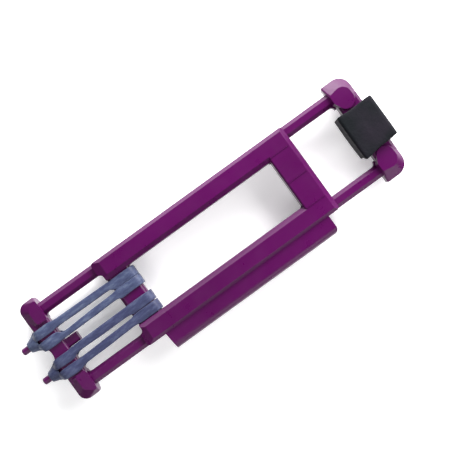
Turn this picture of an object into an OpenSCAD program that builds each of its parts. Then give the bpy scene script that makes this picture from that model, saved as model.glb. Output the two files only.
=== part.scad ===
// Hand-held finger and thumb exerciser.
// A handle with two grooved rails is held in the fist.  A slider frame runs in the grooves, and two rubber
// bands between the handle's crossbar and the slider's pegs resist the thumb that pushes the slider in.
// It lies flat with its front face up: X runs from the pegs to the thumb bar, Y across the rails, Z up.

/* [Handle] */
// Length of the handle along the rails
handle_len = 128; // [110:1:180]
// Width over both rails
handle_w = 55.6; // [50:0.2:80]
// Thickness of the handle, front to rear
handle_t = 18; // [16:0.5:26]
// Width of each rail, seen from the front
rail_w = 12.6; // [11.5:0.1:20]
// Width of the crossbar that the bands wrap round
crossbar_w = 15; // [8:0.5:24]
// Thickness of the crossbar
crossbar_t = 11; // [8:0.5:13]
// Width of the wall at the thumb end
end_wall_w = 16.2; // [10:0.2:26]
// How far the end wall's rear face lies below the rails' rear faces
end_wall_step = 0.6; // [0.2:0.1:2]
// Height of the fine raised lines on the end wall's front face
line_h = 0.3; // [0.1:0.1:0.6]
// Bevel along the rails' inner edges
inner_bevel = 2.6; // [0.8:0.1:3]
// Bevel along the handle's outer edges
outer_bevel = 2; // [0.5:0.1:2.2]
// Bevel across the handle's thumb end
end_bevel = 2.6; // [1:0.1:4]
// Radius of the window's corners at the end wall
window_r = 2; // [0.5:0.1:4]
// Radius of the window's corners beside the bands
crossbar_fillet = 0.7; // [0.3:0.1:0.8]
// Radius of the crossbar's long edges
crossbar_r = 2.6; // [1:0.1:3.5]
// How far the rails reach past the crossbar, towards the pegs
rail_lead = 2.4; // [0.5:0.1:4]
// Length of the ramp on the rails' faces at that end
ramp_len = 5; // [1:0.5:8]
// Depth of that ramp
ramp_h = 2.4; // [0.5:0.1:3]

/* [Palm grip] */
// How far the grip stands below the lower rail
grip_h = 10.2; // [6:0.2:20]
// Distance from the handle's end at the bands to the grip
grip_inset = 9.4; // [2:0.2:16]
// Distance from the grip to the handle's end at the thumb
grip_end_gap = 7.6; // [2:0.2:16]
// Radius of the grip's long lower edges
grip_r = 4; // [1:0.5:6]
// How far the grip's left end leans in at the bottom
grip_lean = 0.9; // [0:0.1:3]

/* [Slider] */
// Width of each rod, across the rails
rod_w = 7.4; // [5:0.1:8]
// Thickness of each rod, front to rear
rod_t = 9; // [6:0.5:11]
// Bevel along the rods' edges
rod_bevel = 2; // [0.3:0.1:2.4]
// Distance from the handle's left end to the band crosshead
band_gap = 38.5; // [30:0.5:60]
// Distance from the handle's right end to the thumb crosshead
thumb_gap = 30; // [20:0.5:60]
// Running clearance round a rod in its channel
run_gap = 0.25; // [0.15:0.05:0.4]
// Depth of the sockets that hold the rods' ends
socket_depth = 8; // [5:0.5:9]

/* [Crossheads] */
// How far the knobs stand out past the rails, along Y
head_over = 4.2; // [2:0.2:8]
// Thickness of the knobs
knob_t = 15; // [13:0.5:18]
// Gap between a band and the knob beside it
knob_gap = 1.3; // [0.8:0.1:2]
// Width of the thumb crosshead's knobs, along X
thumb_knob_w = 15; // [12:0.5:22]
// Thickness of the thumb bar between its knobs
thumb_bar_t = 12.6; // [8:0.2:14]
// How far the thumb bar's inner face is set back from its knobs
thumb_bar_step = 1.6; // [0.5:0.1:3]
// Width of the band crosshead, along X
band_knob_w = 11.2; // [10:0.2:20]
// Thickness of the band crosshead's bar
band_bar_t = 11; // [8:0.5:13]
// Radius of the long edges of the band crosshead's bar
band_bar_r = 1.8; // [1:0.1:3]
// Bevel along the knobs' sides
knob_bevel = 2.4; // [1:0.1:3]
// Length of the slope at the knobs' ends
knob_slope = 5.6; // [2:0.2:6]
// Depth of the bevels and slopes
knob_drop = 3.6; // [1:0.2:4]
// Radius of the thumb crosshead's outer corners
thumb_knob_r = 7.5; // [6:0.5:9]
// Radius of the band crosshead's outer corners
band_knob_r = 5; // [3:0.2:5]
// Radius of the fillets between the knobs and the rods
rod_fillet = 2.4; // [1:0.2:3]

/* [Pegs and stop] */
// Distance between the pegs' centre lines
peg_spacing = 20; // [18:0.2:24]
// Length of each peg
peg_len = 12.2; // [9:0.2:18]
// Radius of a peg's tip
peg_r = 2; // [1.5:0.1:2.5]
// Radius of a peg's foot
peg_foot_r = 3; // [2.6:0.1:3.4]
// Length of the stop tab between the bands
stop_len = 7.8; // [4:0.2:12]
// Width of the stop tab
stop_w = 5.4; // [3:0.2:6]
// Thickness of the stop tab
stop_t = 8; // [4:0.5:9]

/* [Foam pad] */
// Length of the foam sleeve along the thumb bar
pad_len = 26; // [18:0.2:28]
// Thickness of the foam
pad_foam = 4.8; // [2:0.1:8]
// Radius of the sleeve's long edges
pad_r = 1.6; // [0.5:0.1:2]

/* [Rubber bands] */
// Thickness of the rubber
band_t = 1.1; // [0.8:0.1:1.6]
// Width of a strand where it crosses a bar
strand_w = 5.4; // [3:0.1:5.6]
// Gap between the two strands of one band
strand_gap = 1.4; // [0.6:0.1:2]
// How much closer together the two bands lie on the crossbar than on the pegs
band_squeeze = 3.6; // [0:0.2:4]
// Smallest gap between a band and the rail beside it, on the crossbar
band_rail_gap = 0.9; // [0.8:0.1:2]
// Gap between a band and what it wraps
band_clear = 0.12; // [0.05:0.01:0.3]

/* [Screws] */
// Radius of the screws' shanks
screw_r = 1.2; // [0.9:0.1:1.4]
// Radius of the screws' heads
screw_head_r = 2.2; // [1.8:0.1:2.4]
// Height of the screws' heads
screw_head_h = 1.5; // [1:0.1:1.8]
// Gap round a screw where it passes freely
screw_gap = 0.15; // [0.1:0.05:0.3]

/* [Hidden] */
$fn = 48;
hull_fn = 32;
eps = 0.01;

// Colours
purple = [0.40, 0.10, 0.39];
purple_rod = [0.42, 0.11, 0.40];
foam_black = [0.09, 0.09, 0.11];
slate_blue = [0.28, 0.33, 0.50];
steel = [0.70, 0.70, 0.72];

// Stations along X, counted from the band crosshead's inner face rightwards, before the object is centred
handle_x0 = band_gap;
rail_x0 = handle_x0 - rail_lead;
handle_x1 = handle_x0 + handle_len;
thumb_x0 = handle_x1 + thumb_gap;
thumb_x1 = thumb_x0 + thumb_knob_w;
window_x0 = handle_x0 + crossbar_w;
window_x1 = handle_x1 - end_wall_w;
thumb_bar_x0 = thumb_x0 + thumb_bar_step;
pad_x1 = thumb_x1 + pad_foam;
peg_tip_x = -band_knob_w - peg_len;

// Levels across Y
rail_y1 = handle_w / 2;
rail_y0 = rail_y1 - rail_w;
rod_y1 = rail_y1 - run_gap;
rod_y0 = rod_y1 - rod_w;
rod_y = (rod_y0 + rod_y1) / 2;
head_y1 = rail_y1 + head_over;
band_half = strand_w + strand_gap / 2;
band_y = peg_spacing / 2;
knob_y0 = band_y + band_half + knob_gap;
grip_y0 = -rail_y1 - grip_h;
grip_len = handle_len - grip_inset - grip_end_gap;
screw_y = (rail_y0 + rod_y0) / 2;

// The grip's ribs sit in grooves in the lower rail's lips
lip_t = (handle_t - rod_t) / 2 - run_gap;
rib_z = (outer_bevel + lip_t) / 2;
rib_t = 1;
rib_h = 2;
rib_gap = 0.1;

// Depths of screw holes
head_sink = 0.4;
handle_screw_len = handle_t - 4;

// Middle of the thickness, and the shift that puts the origin under the middle of the object's box
mid_z = handle_t / 2;
pad_z0 = mid_z - thumb_bar_t / 2 - pad_foam;
low_z = min(0, pad_z0, mid_z - knob_t / 2);
shift = [-(peg_tip_x + pad_x1) / 2, -(head_y1 + grip_y0) / 2, -low_z];

// ---- Shapes that repeat ----

// Rectangle from one corner to another, with its corners rounded
module round_rect(x0, y0, x1, y1, r) {
    translate([x0 + r, y0]) square([x1 - x0 - 2 * r, y1 - y0]);
    translate([x0, y0 + r]) square([x1 - x0, y1 - y0 - 2 * r]);
    for (x = [x0 + r, x1 - r])
        for (y = [y0 + r, y1 - r])
            translate([x, y]) circle(r);
}

// Rectangle with all four corners cut at 45 degrees
module cut_rect(w, h, c) {
    polygon([
        [-w / 2 + c, -h / 2], [w / 2 - c, -h / 2], [w / 2, -h / 2 + c], [w / 2, h / 2 - c],
        [w / 2 - c, h / 2], [-w / 2 + c, h / 2], [-w / 2, h / 2 - c], [-w / 2, -h / 2 + c]
    ]);
}

// Bar along X whose section is the child, drawn with its x along Y and its y along Z
module along_x(x0, x1) {
    translate([x0, 0, 0])
        rotate([90, 0, 90])
            linear_extrude(x1 - x0) children();
}

// Bar along Y whose section is the child, drawn with its x along X and its y along Z
module along_y(y0, y1) {
    translate([0, y1, 0])
        rotate([90, 0, 0])
            linear_extrude(y1 - y0) children();
}

// Screw pointing up, with the top of its shank at z = len and its head below z = 0
module screw(len) {
    difference() {
        union() {
            cylinder(h = len, r = screw_r);
            translate([0, 0, -screw_head_h]) cylinder(h = screw_head_h, r = screw_head_r);
        }
        for (a = [0, 90])
            rotate([0, 0, a])
                translate([-screw_head_r * 0.6, -0.25, -screw_head_h - eps])
                    cube([screw_head_r * 1.2, 0.5, 0.8]);
    }
}

// What a screw's head needs removed: its counterbore, and a free hole up to z = len
module screw_way(len) {
    cylinder(h = len, r = screw_r + screw_gap);
    translate([0, 0, -screw_head_h - head_sink - eps])
        cylinder(h = screw_head_h + head_sink + eps, r = screw_head_r + screw_gap);
}

// ---- Handle ----

// Each place where a screw joins the two shells
module at_handle_screws() {
    for (x = [handle_x0 + crossbar_w / 2, handle_x1 - end_wall_w / 2])
        for (y = [-screw_y, screw_y])
            translate([x, y, screw_head_h + head_sink]) children();
}

// Rail along the upper side, with its channel open outwards, bevelled long edges and ramped ends
module rail() {
    difference() {
        intersection() {
            along_x(rail_x0, handle_x1)
                polygon([
                    [rail_y0, inner_bevel], [rail_y0 + inner_bevel, 0],
                    [rail_y1 - outer_bevel, 0], [rail_y1, outer_bevel],
                    [rail_y1, handle_t - outer_bevel], [rail_y1 - outer_bevel, handle_t],
                    [rail_y0 + inner_bevel, handle_t], [rail_y0, handle_t - inner_bevel]
                ]);
            along_y(rail_y0, rail_y1)
                polygon([
                    [rail_x0, ramp_h], [rail_x0 + ramp_len, 0],
                    [handle_x1 - end_bevel, 0], [handle_x1, end_bevel],
                    [handle_x1, handle_t - end_bevel], [handle_x1 - end_bevel, handle_t],
                    [rail_x0 + ramp_len, handle_t], [rail_x0, handle_t - ramp_h]
                ]);
        }
        translate([rail_x0 - 1, rod_y0 - run_gap, mid_z - rod_t / 2 - run_gap])
            cube([handle_len + rail_lead + 2, rail_w, rod_t + 2 * run_gap]);
        translate([rail_x0 - 1, rail_y0 - 1, -1])
            cube([rail_lead + 1, rod_y0 - run_gap - rail_lead - rail_y0 + 1, handle_t + 2]);
        translate([rail_x0, rod_y0 - run_gap - rail_lead, -1])
            cylinder(h = handle_t + 2, r = rail_lead);
    }
}

// Crossbar with rounded edges, so that the bands aren't cut
module crossbar() {
    along_y(-rail_y0 - inner_bevel, rail_y0 + inner_bevel)
        round_rect(handle_x0, mid_z - crossbar_t / 2, window_x0, mid_z + crossbar_t / 2, crossbar_r);
}

// Wall at the thumb end, flush with the rails in front and set back behind, with bevelled edges and three
// fine raised lines
module end_wall() {
    z0 = end_wall_step;
    z1 = handle_t;
    x1 = handle_x1;
    b = end_bevel;
    c = 0.9;
    line_w = 0.5;
    along_y(-rail_y0 - inner_bevel, rail_y0 + inner_bevel)
        polygon([
            [window_x1, z0 + c], [window_x1 + c, z0], [x1 - b, z0], [x1, z0 + b],
            [x1, z1 - b], [x1 - b, z1], [window_x1 + c, z1], [window_x1, z1 - c]
        ]);
    for (y = [-rail_y0 - 1.8, 0, rail_y0 + 1.8])
        translate([window_x1 + c + 0.2, y - line_w / 2, mid_z])
            cube([end_wall_w - b - c - 0.4, line_w, handle_t / 2 + line_h]);
}

// Quarter-round fillet of radius r in the window's upper corner at x; dir is +1 if the window lies towards +X
module window_fillet(x, dir, r) {
    t = crossbar_t - 2 * crossbar_r;
    translate([x, rail_y0, mid_z - t / 2])
        difference() {
            translate([dir > 0 ? -1 : -r, -r, 0]) cube([r + 1, r + 1, t]);
            translate([dir * r, -r, -1]) cylinder(h = t + 2, r = r);
        }
}

// Whole handle before it is split; its outer corners are rounded in the front view
module handle_solid() {
    intersection() {
        union() {
            rail();
            mirror([0, 1, 0]) rail();
            crossbar();
            end_wall();
            for (side = [0, 1])
                mirror([0, side, 0]) {
                    window_fillet(window_x0, 1, crossbar_fillet);
                    window_fillet(window_x1, -1, window_r);
                }
        }
        linear_extrude(handle_t + line_h) round_rect(rail_x0, -rail_y1, handle_x1, rail_y1, outer_bevel);
    }
}

// Grooves for the palm grip's ribs, one in each lip of the lower rail
module rib_grooves() {
    for (z = [rib_z, handle_t - rib_z])
        translate([
            handle_x0 + grip_inset + grip_lean + rib_h - rib_gap, -rail_y1 - 1,
            z - rib_t / 2 - rib_gap
        ])
            cube([
                grip_len - grip_lean - 2 * rib_h + 2 * rib_gap, rib_h + rib_gap + 1,
                rib_t + 2 * rib_gap
            ]);
}

module handle_front_shell() {
    color(purple)
        difference() {
            intersection() {
                handle_solid();
                translate([rail_x0 - 1, -handle_w, mid_z])
                    cube([handle_len + rail_lead + 2, 2 * handle_w, handle_t]);
            }
            at_handle_screws() cylinder(h = handle_screw_len - screw_head_h, r = screw_r);
            rib_grooves();
        }
}

module handle_rear_shell() {
    color(purple)
        difference() {
            intersection() {
                handle_solid();
                translate([rail_x0 - 1, -handle_w, 0])
                    cube([handle_len + rail_lead + 2, 2 * handle_w, mid_z]);
            }
            at_handle_screws() screw_way(handle_t);
            rib_grooves();
        }
}

module handle_screws() {
    color(steel) at_handle_screws() screw(handle_screw_len - screw_head_h);
}

// Grip that meets the foot of the rail's bevel, with rounded long edges, a leaning left end and two ribs on
// its seat
module palm_grip() {
    x0 = handle_x0 + grip_inset;
    x1 = x0 + grip_len;
    end_r = 3;
    color(purple) {
        intersection() {
            along_x(x0, x1)
                difference() {
                    translate([grip_y0, 0])
                        round_rect(0, outer_bevel, 3 * grip_h, handle_t - outer_bevel, grip_r);
                    translate([-rail_y1, -1]) square([3 * grip_h, handle_t + 2]);
                }
            linear_extrude(handle_t) {
                polygon([
                    [x0, -rail_y1], [x0 + grip_lean, grip_y0], [x1 - end_r, grip_y0],
                    [x1 - end_r, grip_y0 + end_r], [x1, grip_y0 + end_r], [x1, -rail_y1]
                ]);
                translate([x1 - end_r, grip_y0 + end_r]) circle(end_r);
            }
        }
        for (z = [rib_z, handle_t - rib_z])
            translate([x0 + grip_lean + rib_h, -rail_y1 - eps, z - rib_t / 2])
                cube([grip_len - grip_lean - 2 * rib_h, rib_h + eps, rib_t]);
    }
}

// ---- Slider ----

// Each place where a screw holds a rod's end: in the thumb crosshead or in the band crosshead
module at_head_screws(x) {
    for (y = [-rod_y, rod_y])
        translate([x, y, mid_z - knob_t / 2 + screw_head_h + head_sink]) children();
}

thumb_screw_x = thumb_x0 + socket_depth / 2;
band_screw_x = -socket_depth / 2;
head_screw_len = mid_z + rod_t / 2 - 2 - (mid_z - knob_t / 2 + screw_head_h + head_sink);

module rod() {
    color(purple_rod)
        difference() {
            translate([0, rod_y, mid_z])
                along_x(-socket_depth, thumb_x0 + socket_depth)
                    cut_rect(rod_w, rod_t, rod_bevel);
            at_head_screws(thumb_screw_x) cylinder(h = head_screw_len, r = screw_r);
            at_head_screws(band_screw_x) cylinder(h = head_screw_len, r = screw_r);
        }
}

module upper_slide_rod() {
    rod();
}

module lower_slide_rod() {
    mirror([0, 1, 0]) rod();
}

// Socket in a knob that a rod's end fills
module rod_socket(x0, x1) {
    translate([0, rod_y, mid_z])
        along_x(x0, x1)
            cut_rect(rod_w, rod_t, rod_bevel);
}

// Fillet between a knob's inner face at x and the inner side of the upper rod; dir is +1 if the rod leaves
// towards +X
module rod_fillet_at(x, dir) {
    t = rod_t - 2 * rod_bevel;
    f = rod_fillet;
    translate([x, rod_y0, mid_z - t / 2])
        difference() {
            translate([dir > 0 ? -1 : -f, -f, 0]) cube([f + 1, f, t]);
            translate([dir * f, -f, -1]) cylinder(h = t + 2, r = f);
        }
}

// Outline of the thumb crosshead's upper knob, drawn in by the bevel on its outer side and by the slope at
// its top; its foot swells over the end of the bar
module thumb_knob_outline(side, top) {
    r = thumb_knob_r - side;
    foot_r = thumb_knob_w * 0.42 - side / 2;
    hull() {
        translate([thumb_x0 + 1 + side / 2, head_y1 - top - 1 - side / 3]) circle(1);
        translate([thumb_x1 - side - r, head_y1 - top - r]) circle(r);
        translate([thumb_x0 + 1 + side / 2, knob_y0 + 3]) circle(1);
        translate([thumb_x1 - side - foot_r, pad_len / 2 + foot_r + 0.1 + side / 4]) circle(foot_r);
    }
}

// Solid that is as thick as t - 2 * drop inside its first outline, and as thick as t inside its second
module pillow(t, drop) {
    hull() {
        translate([0, 0, mid_z - t / 2 + drop]) linear_extrude(t - 2 * drop) children(0);
        translate([0, 0, mid_z - t / 2]) linear_extrude(t) children(1);
    }
}

module thumb_crosshead() {
    bar_t = thumb_bar_t / 2;
    color(purple)
        difference() {
            union() {
                for (side = [0, 1])
                    mirror([0, side, 0]) {
                        pillow(knob_t, knob_drop) {
                            thumb_knob_outline(0, 0, $fn = hull_fn);
                            thumb_knob_outline(knob_bevel, knob_slope, $fn = hull_fn);
                        }
                        rod_fillet_at(thumb_x0, -1);
                    }
                along_y(-knob_y0 - 2, knob_y0 + 2)
                    round_rect(thumb_bar_x0, mid_z - bar_t, thumb_x1, mid_z + bar_t, 2);
            }
            for (side = [0, 1])
                mirror([0, side, 0]) rod_socket(thumb_x0 - rod_fillet - 1, thumb_x0 + socket_depth);
            at_head_screws(thumb_screw_x) screw_way(knob_t / 2);
        }
}

module thumb_end_screws() {
    color(steel) at_head_screws(thumb_screw_x) screw(head_screw_len);
}

// Outline of the band crosshead's upper knob, drawn in by the bevel on its outer side and by the slope at
// its top
module band_knob_outline(side, top) {
    r = band_knob_r - side / 2;
    hull() {
        translate([-band_knob_w + side + r, head_y1 - top - r]) circle(r);
        translate([-1.4, head_y1 - top / 2 - 1.4]) circle(1.4);
        translate([-band_knob_w + side + 2, knob_y0 + 2]) circle(2);
        translate([-1.2, knob_y0 + 1.2]) circle(1.2);
    }
}

// Peg pointing away from the handle, with a foot that spreads the band and a blunt tip
module peg() {
    rotate([0, -90, 0])
        rotate_extrude() peg_section(0);
}

// Bar of the band crosshead: its outer side dips between the pegs
module band_bar() {
    dip = 1.6;
    dip_r = 7;
    difference() {
        along_y(-knob_y0 - 3, knob_y0 + 3)
            round_rect(-band_knob_w, mid_z - band_bar_t / 2, 0, mid_z + band_bar_t / 2, band_bar_r);
        translate([-band_knob_w + dip - dip_r, 0, 0]) cylinder(h = handle_t, r = dip_r);
    }
}

module band_crosshead() {
    color(purple)
        difference() {
            union() {
                for (side = [0, 1])
                    mirror([0, side, 0]) {
                        pillow(knob_t, knob_drop) {
                            band_knob_outline(0, 0, $fn = hull_fn);
                            band_knob_outline(knob_slope * 0.8, knob_slope * 0.8, $fn = hull_fn);
                        }
                        rod_fillet_at(0, 1);
                    }
                band_bar();
                for (y = [-peg_spacing / 2, peg_spacing / 2])
                    translate([-band_knob_w, y, mid_z]) peg();
                along_x(-1, stop_len)
                    translate([0, mid_z]) cut_rect(stop_w, stop_t, 0.8);
            }
            for (side = [0, 1])
                mirror([0, side, 0]) rod_socket(-socket_depth, rod_fillet + 1);
            at_head_screws(band_screw_x) screw_way(knob_t / 2);
        }
}

module band_end_screws() {
    color(steel) at_head_screws(band_screw_x) screw(head_screw_len);
}

// Foam sleeve round the thumb bar
module thumb_pad() {
    g = 0.05;
    color(foam_black)
        difference() {
            along_y(-pad_len / 2, pad_len / 2)
                round_rect(
                    thumb_bar_x0 - pad_foam, pad_z0, pad_x1, mid_z + thumb_bar_t / 2 + pad_foam, pad_r
                );
            along_y(-pad_len, pad_len)
                round_rect(
                    thumb_bar_x0 - g, mid_z - thumb_bar_t / 2 - g, thumb_x1 + g, mid_z + thumb_bar_t / 2 + g, 2
                );
        }
}

// ---- Rubber bands ----

// Share of a peg's length that the band's gathered ends cover
grip_share = 0.62;

// Each band's middle on the crossbar, clear of the rail, and the angle that leads it there from its peg
crossbar_band_y = min(band_y - band_squeeze / 2, rail_y0 - band_rail_gap - band_half);
band_angle = atan((band_y - crossbar_band_y) / window_x0);

// Slack at both ends of a strand, since it crosses the bars at that angle
band_slack = band_half * sin(band_angle);

// Closed path of a strand, as a filled outline in X and Z: round the crossbar, over both faces of the band
// crosshead's bar and to a point beside the peg
module strand_outline(grow) {
    g = band_clear + grow;
    hull() {
        for (z = [-1, 1]) {
            translate([window_x0 - crossbar_r + band_slack, mid_z + z * (crossbar_t / 2 - crossbar_r)])
                circle(crossbar_r + g);
            translate([-band_knob_w + band_bar_r - band_slack, mid_z + z * (band_bar_t / 2 - band_bar_r)])
                circle(band_bar_r + g);
        }
        translate([-band_knob_w - peg_foot_r / 2, mid_z]) circle(peg_foot_r + g);
    }
}

// One strand, as a flat closed loop between two levels of Y
module strand(y0, y1) {
    difference() {
        along_y(y0, y1) strand_outline(band_t, $fn = hull_fn);
        along_y(y0 - 1, y1 + 1) strand_outline(0, $fn = hull_fn);
    }
}

// Outline of a peg turned about its own axis, from its foot to its tip, grown by g
module peg_section(g) {
    tip = 0.6;
    polygon([
        [0, 0], [peg_foot_r + 0.4 + g, 0], [peg_foot_r + g, 1.2], [peg_r + g, peg_len * grip_share],
        [peg_r + g, peg_len - tip], [peg_r - tip + g, peg_len], [0, peg_len]
    ]);
}

// Band round the upper peg: two strands, and the gathered ends that cling to the peg
module band() {
    strand_y = (strand_w + strand_gap) / 2;
    difference() {
        translate([0, band_y, 0]) {
            rotate([0, 0, -band_angle])
                for (side = [-1, 1])
                    strand(side * strand_y - strand_w / 2, side * strand_y + strand_w / 2);
            translate([-band_knob_w - band_clear, 0, mid_z])
                rotate([0, -90, 0])
                    cylinder(h = peg_len * grip_share, r1 = peg_foot_r + band_t + 0.6, r2 = peg_r + band_t);
        }
        translate([-band_knob_w, band_y, mid_z])
            rotate([0, -90, 0])
                rotate_extrude() peg_section(band_clear);
    }
}

module upper_rubber_band() {
    color(slate_blue) band();
}

module lower_rubber_band() {
    color(slate_blue) mirror([0, 1, 0]) band();
}

// ---- The pieces, with the origin under the middle of the whole ----

translate(shift) {
    handle_front_shell();
    handle_rear_shell();
    handle_screws();
    palm_grip();
    upper_slide_rod();
    lower_slide_rod();
    thumb_crosshead();
    thumb_end_screws();
    band_crosshead();
    band_end_screws();
    thumb_pad();
    upper_rubber_band();
    lower_rubber_band();
}
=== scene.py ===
"""Looks for the finger exerciser: moulded purple plastic, two stretched rubber bands and a foam thumb pad.

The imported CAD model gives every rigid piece, its place and its motion.  This script finishes those pieces,
replaces the plain bands and pad with detailed ones, and sets the floor, the lights and the camera.
Lengths are in metres, in the frame of the CAD model: X along the rails, Y across them, Z up.
"""
import math

import bpy
import numpy as np
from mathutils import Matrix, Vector, noise


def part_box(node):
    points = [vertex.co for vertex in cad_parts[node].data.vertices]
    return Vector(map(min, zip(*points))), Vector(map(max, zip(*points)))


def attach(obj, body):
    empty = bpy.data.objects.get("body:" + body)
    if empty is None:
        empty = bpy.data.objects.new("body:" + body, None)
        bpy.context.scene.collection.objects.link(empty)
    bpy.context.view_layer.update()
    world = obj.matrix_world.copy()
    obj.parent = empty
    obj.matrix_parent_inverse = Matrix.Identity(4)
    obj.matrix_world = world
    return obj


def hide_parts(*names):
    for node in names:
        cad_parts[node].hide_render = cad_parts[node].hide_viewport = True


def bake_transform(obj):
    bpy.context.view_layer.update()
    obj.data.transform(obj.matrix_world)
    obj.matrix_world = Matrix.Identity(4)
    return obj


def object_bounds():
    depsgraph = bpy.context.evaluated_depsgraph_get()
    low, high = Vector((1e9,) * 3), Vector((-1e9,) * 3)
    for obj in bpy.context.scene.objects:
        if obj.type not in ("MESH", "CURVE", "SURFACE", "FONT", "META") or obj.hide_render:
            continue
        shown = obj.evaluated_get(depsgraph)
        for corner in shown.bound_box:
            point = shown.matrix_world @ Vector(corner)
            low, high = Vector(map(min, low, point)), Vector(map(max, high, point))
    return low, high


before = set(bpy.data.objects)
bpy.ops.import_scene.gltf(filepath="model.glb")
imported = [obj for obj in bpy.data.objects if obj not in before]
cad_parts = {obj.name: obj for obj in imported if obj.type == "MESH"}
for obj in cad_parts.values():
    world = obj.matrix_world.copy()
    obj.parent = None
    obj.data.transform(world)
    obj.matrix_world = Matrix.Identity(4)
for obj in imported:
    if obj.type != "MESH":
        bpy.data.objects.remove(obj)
CAD_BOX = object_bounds()
MM = 0.001

# ---- Sizes that the pieces share with the CAD model ----

BAND_T = 1.1 * MM  # thickness of the rubber
BAND_GAP = 0.12 * MM  # gap between a band and what it wraps
CROSSBAR_R = 2.6 * MM  # radius of the crossbar's long edges
BAR_R = 1.8 * MM  # radius of the band crosshead's long edges
PEG_LEN = 12.2 * MM  # length of a peg
BAR_W = 11.2 * MM  # width of the band crosshead
CROSSBAR_W = 15 * MM  # width of the crossbar
PEG_Y = 10 * MM  # from the middle to each peg
SMOOTHING_PASSES = 3  # over the bands' width, thickness and twist, after the curve is laid

handle_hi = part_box("handle_front_shell")[1]
rear_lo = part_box("handle_rear_shell")[0]
peg_lo, peg_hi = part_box("band_crosshead")
band_lo, band_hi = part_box("upper_rubber_band")
pad_lo, pad_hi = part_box("thumb_pad")

MID_Z = (rear_lo.z + handle_hi.z) / 2
MID_Y = (peg_lo.y + peg_hi.y) / 2
BAR_LEFT = peg_lo.x + PEG_LEN
CROSSBAR_RIGHT = band_hi.x - BAND_T - BAND_GAP
BAR_HALF = (band_hi.z - band_lo.z) / 2 - BAND_T - BAND_GAP


# ---- Materials ----

def new_material(name):
    """An empty node material: the material, its node tree and its Principled shader."""
    m = bpy.data.materials.new(name)
    m.use_nodes = True
    return m, m.node_tree, m.node_tree.nodes["Principled BSDF"]


def add(tree, kind, **values):
    """A node of that kind, with its properties and numbered or named inputs set."""
    n = tree.nodes.new(kind)
    for key, value in values.items():
        if key in n.inputs:
            n.inputs[key].default_value = value
        else:
            setattr(n, key, value)
    return n


def object_noise(tree, scale, detail=3.0, rough=0.5, stretch=(1, 1, 1)):
    """Noise in the object's own coordinates, in metres, so that it sits still on the surface."""
    where = add(tree, "ShaderNodeTexCoord")
    to = add(tree, "ShaderNodeMapping")
    to.inputs["Scale"].default_value = stretch
    n = add(tree, "ShaderNodeTexNoise", Scale=scale, Detail=detail, Roughness=rough)
    tree.links.new(where.outputs["Object"], to.inputs["Vector"])
    tree.links.new(to.outputs["Vector"], n.inputs["Vector"])
    return n


def ramp(tree, source, stops):
    """Colour ramp from a factor, with stops of (place, colour)."""
    r = add(tree, "ShaderNodeValToRGB")
    r.color_ramp.elements[0].position = stops[0][0]
    r.color_ramp.elements[0].color = (*stops[0][1], 1)
    r.color_ramp.elements[1].position = stops[-1][0]
    r.color_ramp.elements[1].color = (*stops[-1][1], 1)
    for place, colour in stops[1:-1]:
        e = r.color_ramp.elements.new(place)
        e.color = (*colour, 1)
    tree.links.new(source, r.inputs["Fac"])
    return r


def to_range(tree, source, low, high, from_low=0.3, from_high=0.7):
    """The source's middle range, mapped to low..high."""
    m = add(tree, "ShaderNodeMapRange")
    m.inputs["From Min"].default_value = from_low
    m.inputs["From Max"].default_value = from_high
    m.inputs["To Min"].default_value = low
    m.inputs["To Max"].default_value = high
    tree.links.new(source, m.inputs["Value"])
    return m


def bump(tree, shader, layers):
    """Bump from (height output, distance in metres, strength) layers, each over the one before."""
    last = None
    for height, distance, strength in layers:
        b = add(tree, "ShaderNodeBump", Strength=strength, Distance=distance)
        tree.links.new(height, b.inputs["Height"])
        if last is not None:
            tree.links.new(last.outputs["Normal"], b.inputs["Normal"])
        last = b
    tree.links.new(last.outputs["Normal"], shader.inputs["Normal"])


def purple_plastic():
    """Satin moulded plastic: flow marks in the colour, handling polish in the roughness, fine grain."""
    m, tree, shader = new_material("purple_plastic")
    flow = object_noise(tree, 30, detail=3, stretch=(0.35, 1, 1))
    colour = ramp(tree, flow.outputs["Fac"], [(0.3, (0.050, 0.0009, 0.044)), (0.7, (0.067, 0.0016, 0.059))])
    tree.links.new(colour.outputs["Color"], shader.inputs["Base Color"])
    wear = object_noise(tree, 90, detail=5, rough=0.6)
    gloss = to_range(tree, wear.outputs["Fac"], 0.26, 0.37)
    tree.links.new(gloss.outputs["Result"], shader.inputs["Roughness"])
    grain = object_noise(tree, 2600, detail=2)
    waves = object_noise(tree, 120, detail=2)
    bump(tree, shader, [(waves.outputs["Fac"], 0.12 * MM, 0.2), (grain.outputs["Fac"], 0.008 * MM, 0.2)])
    shader.inputs["Specular IOR Level"].default_value = 0.3
    return m


def blue_rubber(name, dark, middle, bloomed):
    """Slate-blue latex with a powdery bloom, and fine lines along the stretch."""
    m, tree, shader = new_material(name)
    bloom = object_noise(tree, 420, detail=6, rough=0.75, stretch=(0.3, 1, 1))
    colour = ramp(tree, bloom.outputs["Fac"], [(0.36, dark), (0.5, middle), (0.64, bloomed)])
    tree.links.new(colour.outputs["Color"], shader.inputs["Base Color"])
    gloss = to_range(tree, bloom.outputs["Fac"], 0.5, 0.68)
    tree.links.new(gloss.outputs["Result"], shader.inputs["Roughness"])
    lines = object_noise(tree, 1500, detail=2, stretch=(0.08, 1, 1))
    bump(tree, shader, [(lines.outputs["Fac"], 0.06 * MM, 0.6)])
    shader.inputs["Sheen Weight"].default_value = 0.08
    shader.inputs["Sheen Roughness"].default_value = 0.5
    return m


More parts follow.
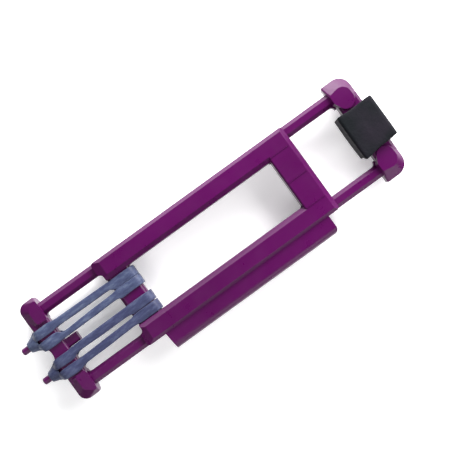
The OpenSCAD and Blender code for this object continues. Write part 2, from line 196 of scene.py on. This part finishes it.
def black_foam():
    """Closed-cell foam: blue-black with a grey-purple cast, fine cells and a few larger pits."""
    m, tree, shader = new_material("black_foam")
    cast = object_noise(tree, 60, detail=4)
    blue_black = (0.0014, 0.0026, 0.0042)
    grey_purple = (0.0075, 0.0052, 0.0105)
    colour = ramp(tree, cast.outputs["Fac"], [(0.35, blue_black), (0.65, grey_purple)])
    tree.links.new(colour.outputs["Color"], shader.inputs["Base Color"])
    shader.inputs["Roughness"].default_value = 0.72
    cells = add(tree, "ShaderNodeTexVoronoi", Scale=1500.0)
    where = add(tree, "ShaderNodeTexCoord")
    tree.links.new(where.outputs["Object"], cells.inputs["Vector"])
    pits = object_noise(tree, 700, detail=3)
    bump(tree, shader, [(pits.outputs["Fac"], 0.22 * MM, 0.7), (cells.outputs["Distance"], 0.12 * MM, 0.7)])
    shader.inputs["Sheen Weight"].default_value = 0.02
    shader.inputs["Sheen Roughness"].default_value = 0.4
    shader.inputs["Specular IOR Level"].default_value = 0.15
    return m


def zinc_steel():
    """Zinc-plated screw heads with faint turning marks."""
    m, tree, shader = new_material("zinc_steel")
    spots = object_noise(tree, 900, detail=3)
    colour = ramp(tree, spots.outputs["Fac"], [(0.3, (0.42, 0.42, 0.44)), (0.7, (0.62, 0.62, 0.64))])
    tree.links.new(colour.outputs["Color"], shader.inputs["Base Color"])
    gloss = to_range(tree, spots.outputs["Fac"], 0.25, 0.42)
    tree.links.new(gloss.outputs["Result"], shader.inputs["Roughness"])
    shader.inputs["Metallic"].default_value = 1.0
    return m


def pale_floor():
    """Plain matt floor, nearly white, glowing a little like a lit table so that shadows stay pale."""
    m, tree, shader = new_material("pale_floor")
    shader.inputs["Base Color"].default_value = (0.92, 0.92, 0.92, 1)
    shader.inputs["Roughness"].default_value = 0.8
    shader.inputs["Specular IOR Level"].default_value = 0.1
    shader.inputs["Emission Color"].default_value = (1, 1, 1, 1)
    shader.inputs["Emission Strength"].default_value = 0.3
    return m


PURPLE = purple_plastic()
# Both bands are one rubber: the upper band's copy is painted lighter as if lit, the lower band's copy darker
# with painted shade.
RUBBER_PAINTED_LIT = blue_rubber("rubber_painted_lit", (0.013, 0.019, 0.062), (0.027, 0.038, 0.096), (0.066, 0.086, 0.148))
RUBBER_PAINTED_SHADE = blue_rubber("rubber_painted_shade", (0.006, 0.009, 0.044), (0.014, 0.019, 0.068), (0.040, 0.050, 0.108))
FOAM = black_foam()
STEEL = zinc_steel()


# ---- The rigid CAD pieces ----

def finish_cad(name, material, edge, angle=25):
    """Gives a CAD node its material, softly rounded edges and smooth shading; its vertices stay."""
    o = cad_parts[name]
    o.data.materials.clear()
    o.data.materials.append(material)
    o.data.polygons.foreach_set("use_smooth", [True] * len(o.data.polygons))
    weld = o.modifiers.new("weld", "WELD")
    weld.merge_threshold = 0.005 * MM
    if edge:
        bevel = o.modifiers.new("bevel", "BEVEL")
        bevel.width = edge
        bevel.segments = 3
        bevel.limit_method = "ANGLE"
        bevel.angle_limit = math.radians(angle)
        bevel.use_clamp_overlap = True
        bevel.miter_outer = "MITER_ARC"
    normals = o.modifiers.new("normals", "WEIGHTED_NORMAL")
    normals.keep_sharp = True
    normals.weight = 80
    return o


for name, edge in (
    ("handle_front_shell", 0.25), ("handle_rear_shell", 0.25), ("palm_grip", 0.25),
    ("upper_slide_rod", 0.25), ("lower_slide_rod", 0.25),
    ("thumb_crosshead", 0.35), ("band_crosshead", 0.35),
):
    finish_cad(name, PURPLE, edge * MM)
for name in ("handle_screws", "thumb_end_screws", "band_end_screws"):
    finish_cad(name, STEEL, 0.12 * MM)


# ---- Building ribbons and sleeves ----

def mesh_object(name, points, faces, material):
    """A smooth-shaded mesh object from points and faces."""
    mesh = bpy.data.meshes.new(name)
    mesh.from_pydata([tuple(p) for p in points], [], faces)
    mesh.validate()
    mesh.materials.append(material)
    mesh.polygons.foreach_set("use_smooth", [True] * len(mesh.polygons))
    o = bpy.data.objects.new(name, mesh)
    bpy.context.scene.collection.objects.link(o)
    return o


def closed_spline(values, per_span):
    """Points on a closed centripetal Catmull-Rom curve through the rows of values."""
    v = np.array(values, float)
    n = len(v)
    out = []
    for i in range(n):
        p0, p1, p2, p3 = (v[(i + k - 1) % n] for k in range(4))
        steps = [max(np.linalg.norm((b - a)[:3]), 1e-9) ** 0.5 for a, b in ((p0, p1), (p1, p2), (p2, p3))]
        t0 = 0.0
        t1 = t0 + steps[0]
        t2 = t1 + steps[1]
        t3 = t2 + steps[2]
        for k in range(per_span[i]):
            t = t1 + (t2 - t1) * k / per_span[i]
            a1 = (t1 - t) / (t1 - t0) * p0 + (t - t0) / (t1 - t0) * p1
            a2 = (t2 - t) / (t2 - t1) * p1 + (t - t1) / (t2 - t1) * p2
            a3 = (t3 - t) / (t3 - t2) * p2 + (t - t2) / (t3 - t2) * p3
            b1 = (t2 - t) / (t2 - t0) * a1 + (t - t0) / (t2 - t0) * a2
            b2 = (t3 - t) / (t3 - t1) * a2 + (t - t1) / (t3 - t1) * a3
            out.append((t2 - t) / (t2 - t1) * b1 + (t - t1) / (t2 - t1) * b2)
    return np.array(out)


def ribbon_section(width, thick, corner_steps=3):
    """Outline of a strip of rubber: a flat rectangle with softly rounded edges, anticlockwise."""
    r = 0.42 * thick
    pts = []
    for cx, cy, start in ((1, 1, 0), (-1, 1, 90), (-1, -1, 180), (1, -1, 270)):
        for k in range(corner_steps + 1):
            a = math.radians(start + 90 * k / corner_steps)
            pts.append((
                cx * (width / 2 - r) + r * math.cos(a),
                cy * (thick / 2 - r) + r * math.sin(a),
            ))
    return pts


def rubber_band(name, node, material, peg_y, outer, inner, seed):
    """One closed loop of flat rubber, folded over the crossbar, with both folded ends on one peg.

    The front strands dive over the bar's edge and pass behind the peg; the rear strands come up and pass in
    front of it, further out.  outer and inner are the strands above and below the peg: each is four pairs of
    (Y, width), at the bar, at both ends of the free span, and on the crossbar.
    """
    off = BAND_GAP + BAND_T / 2
    front = BAR_HALF + off
    bar_right = BAR_LEFT + BAR_W
    cross_left = CROSSBAR_RIGHT - CROSSBAR_W
    rows = []
    counts = []
    turn = 1  # which way the strip's width direction points along Y; each turn round the peg reverses it

    def point(x, y, z, d, w, t, n):
        """A point's place, its width direction, width and thickness, and the steps to the next point."""
        rows.append([x, y, z, *d, w, t])
        counts.append(n)

    def strand(side, face, towards_peg):
        """One strand along both bars; face is +1 in front and -1 behind."""
        (y0, w0), (y1, w1), (y2, w2), (y3, w3) = outer if side > 0 else inner
        z = MID_Z + face * front
        # Each station is its X, its Y, the strip's width there, and the steps to the next one.
        stations = [
            (CROSSBAR_RIGHT - CROSSBAR_R, y3, w3, 5),
            (CROSSBAR_RIGHT - 8 * MM, y3, w3, 6),
            (cross_left + 1.3 * MM, y3, w3, 4),
            (cross_left - 0.3 * MM, y2 * 0.6 + y3 * 0.4, w2 * 0.6 + w3 * 0.4, 4),
            (cross_left - 2.2 * MM, y2, w2, 12),
            ((cross_left + bar_right) / 2, (y1 + y2) / 2, (w1 + w2) / 2, 12),
            (bar_right + 2 * MM, y1, w1, 4),
            (bar_right + 0.3 * MM, y0 * 0.4 + y1 * 0.6, w0 * 0.4 + w1 * 0.6, 4),
            (bar_right - 1.2 * MM, y0, w0, 6),
            (BAR_LEFT + BAR_R, y0, w0, 4),
        ]
        if not towards_peg:
            steps = [4] + [station[3] for station in stations[:-1]]
            stations = [(x, y, w, n) for (x, y, w, _), n in zip(reversed(stations), reversed(steps))]
        for x, y, w, n in stations:
            point(x, y, z, (0, turn, 0), w, BAND_T, n)

    def hook(s_in, face, reach, hold_w, r, slope, thick):
        """From the bar's edge on side s_in, round the peg's far side, and back to the bar's edge.

        reach is how far out the strip's middle sits on the peg, hold_w its width there, r its distance from
        the peg's axis, and slope how steeply the wrapped rubber widens towards the bar.
        """
        nonlocal turn
        q = turn * s_in
        y_in, w_in = (outer if s_in > 0 else inner)[0]
        y_out, w_out = (inner if s_in > 0 else outer)[0]
        x1 = BAR_LEFT - reach
        edge_z = MID_Z + face * (BAR_HALF - BAR_R + 1.2 * MM)

        def edge(y, w, s, n):
            """Over the long edge of the bar, turning towards the peg."""
            x = BAR_LEFT - 1.0 * MM
            y = y * 0.85 + (peg_y + s * r) * 0.15
            point(x, y, edge_z, (q * 0.25, q * s * 0.97, 0), w * 0.88, BAND_T, n)

        def shoulder(w, s, n):
            """Between the bar's edge and the peg, where the rubber is bunched and half turned."""
            x = (BAR_LEFT - 0.9 * MM) * 0.6 + x1 * 0.4
            y = peg_y + s * (r + 0.9 * MM)
            z = MID_Z + face * 2.7 * MM
            bunched_w = w * 0.3 + hold_w * 0.35
            point(x, y, z, (q * 0.8, q * s * 0.6, 0), bunched_w, (BAND_T + thick) / 2, n)

        edge(y_in, w_in, s_in, 4)
        shoulder(w_in, s_in, 5)
        for angle in (90, 125, 160, 200, 235, 270):
            a = math.radians(angle)
            ny, nz = s_in * math.sin(a), face * math.cos(a)
            across = (q, q * slope * ny, q * slope * nz)
            point(x1, peg_y + ny * r, MID_Z + nz * r, across, hold_w, thick, 5)
        shoulder(w_out, -s_in, 4)
        edge(y_out, w_out, -s_in, 4)
        turn = -turn

    def fold(side, face):
        """Round the crossbar's right side, from that face to the other."""
        r = CROSSBAR_R + off
        flat = BAR_HALF - CROSSBAR_R
        y, w = (outer if side > 0 else inner)[3]
        for half, angles in ((face, (30, 60, 90)), (-face, (90, 60, 30))):
            for angle in angles:
                a = math.radians(angle)
                x = CROSSBAR_RIGHT - CROSSBAR_R + r * math.sin(a)
                z = MID_Z + half * (flat + r * math.cos(a))
                point(x, y, z, (0, turn, 0), w, BAND_T, 3)

    hold_r = 3.55 * MM
    strand(1, 1, towards_peg=True)
    hook(1, 1, reach=2.0 * MM, hold_w=2.3 * MM, r=hold_r, slope=0.15, thick=1.1 * MM)
    strand(-1, 1, towards_peg=False)
    fold(-1, 1)
    strand(-1, -1, towards_peg=True)
    hook(-1, -1, reach=4.5 * MM, hold_w=6.6 * MM, r=hold_r, slope=0.36, thick=0.95 * MM)
    strand(1, -1, towards_peg=False)
    fold(1, -1)

    path = closed_spline(rows, counts)
    for _ in range(SMOOTHING_PASSES):
        path[:, 3:] = (np.roll(path[:, 3:], 1, 0) + 2 * path[:, 3:] + np.roll(path[:, 3:], -1, 0)) / 4
    place, across = path[:, :3], path[:, 3:6]
    ahead = np.roll(place, -1, 0) - np.roll(place, 1, 0)
    ahead /= np.linalg.norm(ahead, axis=1)[:, None]
    points, faces = [], []
    per = 0
    for i in range(len(path)):
        d = across[i] - ahead[i] * (across[i] @ ahead[i])
        d /= np.linalg.norm(d)
        up = np.cross(ahead[i], d)
        ripple = noise.noise(Vector(place[i] * 160) + Vector((seed, 0, 0)))
        section = ribbon_section(path[i, 6] * (1 + 0.035 * ripple), path[i, 7])
        per = len(section)
        for u, v in section:
            points.append(place[i] + d * u + up * v)
    n = len(path)
    for i in range(n):
        j = (i + 1) % n
        for k in range(per):
            m = (k + 1) % per
            faces.append((i * per + k, i * per + m, j * per + m, j * per + k))
    o = mesh_object(name, points, faces, material)
    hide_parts(node)
    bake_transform(o)
    return o


def from_peg(peg_y, *pairs):
    """(Y, width) pairs in metres, from pairs in millimetres with Y counted from the peg."""
    return [(peg_y + y * MM, w * MM) for y, w in pairs]


UPPER_PEG_Y = MID_Y + PEG_Y
LOWER_PEG_Y = MID_Y - PEG_Y
rubber_band(
    "band_upper", "upper_rubber_band", RUBBER_PAINTED_LIT, UPPER_PEG_Y,
    from_peg(UPPER_PEG_Y, (2.9, 5.4), (2.8, 4.3), (2.2, 4.3), (1.3, 5.9)),
    from_peg(UPPER_PEG_Y, (-4.3, 5.8), (-5.1, 3.6), (-4.4, 4.2), (-4.6, 5.9)), 3,
)
rubber_band(
    "band_lower", "lower_rubber_band", RUBBER_PAINTED_SHADE, LOWER_PEG_Y,
    from_peg(LOWER_PEG_Y, (3.8, 5.7), (4.7, 4.7), (4.8, 5.1), (4.5, 5.9)),
    from_peg(LOWER_PEG_Y, (-3.4, 5.9), (-3.0, 4.6), (-1.9, 4.6), (-1.8, 6.0)), 11,
)


# ---- Foam pad ----

def foam_pad():
    """A foam sleeve pushed over the thumb bar: soft rounded edges, crowned faces, and ends pressed in by the
    knobs.  The thumb has dragged its front a little towards the lower knob."""
    wall = 4.6 * MM
    radius = 1.5 * MM  # of the long outer edges
    end_r = 0.7 * MM  # of the edges round both ends
    core_r = 1.4 * MM  # of the hole's corners
    x0, x1, z0, z1 = pad_lo.x, pad_hi.x, pad_lo.z, pad_hi.z
    cx, cz = (x0 + x1) / 2, (z0 + z1) / 2
    hx, hz = (x1 - x0) / 2 - 0.1 * MM, (z1 - z0) / 2 - 0.1 * MM

    def outline(half_x, half_z, r, count):
        """Points round a rounded rectangle, evenly spaced, with their outward directions."""
        sides = [2 * (half_z - r), 2 * (half_x - r)] * 2
        arc = math.pi * r / 2
        total = sum(sides) + 4 * arc
        out = []
        for i in range(count):
            d = total * i / count
            for k in range(4):
                turn = math.radians(90 * k)
                along = (-math.sin(turn), math.cos(turn))
                away = (math.cos(turn), math.sin(turn))
                hw, hl = (half_x, half_z) if k % 2 == 0 else (half_z, half_x)
                if d < sides[k]:
                    q = d - sides[k] / 2
                    out.append((away[0] * hw + along[0] * q, away[1] * hw + along[1] * q, *away))
                    break
                d -= sides[k]
                if d < arc:
                    a = turn + d / r
                    corner = (
                        away[0] * (hw - r) + along[0] * (hl - r),
                        away[1] * (hw - r) + along[1] * (hl - r),
                    )
                    away = (math.cos(a), math.sin(a))
                    out.append((corner[0] + r * away[0], corner[1] + r * away[1], *away))
                    break
                d -= arc
        return out

    around = 96
    shell = outline(hx, hz, radius, around)
    core = outline(hx - wall, hz - wall, core_r, around)
    half = (pad_hi.y - pad_lo.y) / 2
    ends = []
    for k in range(5):
        a = math.radians(22.5 * k)
        ends.append((-half + end_r * (1 - math.cos(a)), end_r * (1 - math.sin(a))))
    slices = 22
    middle = [(-half + end_r + (2 * half - 2 * end_r) * k / slices, 0.0) for k in range(1, slices)]
    side = ends + middle + [(-y, inset) for y, inset in reversed(ends)]
    points = []
    for y, inset in side:
        along = y / half
        for px, pz, nx, nz in shell:
            crown = 0.20 * MM * (1 - along * along) - 0.10 * MM
            lump = 0.16 * MM * noise.noise(Vector((px * 140, y * 140, pz * 140)))
            lump += 0.05 * MM * noise.noise(Vector((px * 700, y * 700, pz * 700)))
            x = px + nx * (crown + lump - inset)
            z = pz + nz * (crown + lump - inset)
            in_front = min(max(z / hz, 0), 1)  # 1 on the front face, 0 on the rear half
            slant = -(0.9 + 1.2 * (-x / hx)) * MM * in_front if along < 0 else 0.1 * MM * in_front
            press = 0.6 * MM * math.exp(-((x + 1.2 * MM) / (4.6 * MM)) ** 2) * in_front
            move = slant * abs(along) ** 3 - math.copysign(press * abs(along) ** 5, along)
            points.append((cx + x, MID_Y + y + move, cz + z))
    rows = len(side)
    for y in (half - 0.15 * MM, -half + 0.15 * MM):
        for px, pz, _, _ in core:
            points.append((cx + px, MID_Y + y, cz + pz))
    faces = []
    n = around
    for r in range(rows + 1):
        lower = r * n
        upper = (r + 1) * n
        for i in range(n):
            j = (i + 1) % n
            faces.append((lower + i, lower + j, upper + j, upper + i))
    last = (rows + 1) * n
    for i in range(n):
        j = (i + 1) % n
        faces.append((last + i, last + j, j, i))
    o = mesh_object("foam_pad", points, faces, FOAM)
    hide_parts("thumb_pad")
    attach(o, "slider")


foam_pad()


# ---- Floor, light and camera ----

FLOOR_SIZE = 6.0
FLOOR_GAP = 0.1 * MM
VIEW_TURN = math.radians(-35.9)  # the object's length rises to the right in the picture
CAMERA_HEIGHT = 0.718  # over the rear of the handle
PICTURE_MIDDLE = (handle_hi.x - 55.7 * MM, MID_Y - 5.9 * MM)


def stage():
    """The plain floor that the object lies on."""
    mesh = bpy.data.meshes.new("floor")
    h = FLOOR_SIZE / 2
    mesh.from_pydata([(-h, -h, 0), (h, -h, 0), (h, h, 0), (-h, h, 0)], [], [(0, 1, 2, 3)])
    mesh.materials.append(pale_floor())
    floor = bpy.data.objects.new("floor", mesh)
    floor.location.z = CAD_BOX[0][2] - FLOOR_GAP
    bpy.context.scene.collection.objects.link(floor)


def area_light(name, place, target, size, power):
    """A rectangular lamp at that place, turned to the target; its power is in watts."""
    data = bpy.data.lights.new(name, "AREA")
    data.shape = "RECTANGLE"
    data.size, data.size_y = size
    data.energy = power
    o = bpy.data.objects.new(name, data)
    o.location = place
    o.rotation_euler = (Vector(target) - Vector(place)).to_track_quat("-Z", "Y").to_euler()
    bpy.context.scene.collection.objects.link(o)


def lights():
    """A broad light from above in the picture, with weak ones from the sides and a dim, even surround."""
    up = Vector((-math.sin(VIEW_TURN), math.cos(VIEW_TURN), 0))
    area_light("wall_softbox", up * 0.75 + Vector((0, 0, 0.22)), Vector((0, 0, 0.02)), (1.6, 0.5), 15)
    area_light("key", up * 0.72 + Vector((0, 0, 0.46)), Vector((0, 0, 0.01)), (0.9, 0.3), 12)
    area_light("right_fill", Vector((0.7, 0.1, 0.46)), Vector((0, 0, 0)), (0.6, 0.5), 7)
    area_light("left_fill", Vector((-0.45, -0.3, 0.7)), Vector((0, 0, 0)), (0.6, 0.5), 3)
    area_light("near_fill", Vector((0.1, -0.7, 0.42)), Vector((0, 0, 0)), (0.8, 0.4), 2.8)
    world = bpy.data.worlds.new("world")
    world.use_nodes = True
    world.node_tree.nodes["Background"].inputs["Color"].default_value = (0.95, 0.96, 1, 1)
    world.node_tree.nodes["Background"].inputs["Strength"].default_value = 0.1
    bpy.context.scene.world = world


def camera():
    """Looks straight down on the object's front, turned so that its length rises to the right."""
    data = bpy.data.cameras.new("camera")
    data.sensor_width = 36
    data.lens = 97.5
    o = bpy.data.objects.new("camera", data)
    o.location = (*PICTURE_MIDDLE, rear_lo.z + CAMERA_HEIGHT)
    o.rotation_euler = (0, 0, VIEW_TURN)
    bpy.context.scene.collection.objects.link(o)
    bpy.context.scene.camera = o


stage()
lights()
camera()
bpy.context.scene.view_settings.view_transform = "Standard"
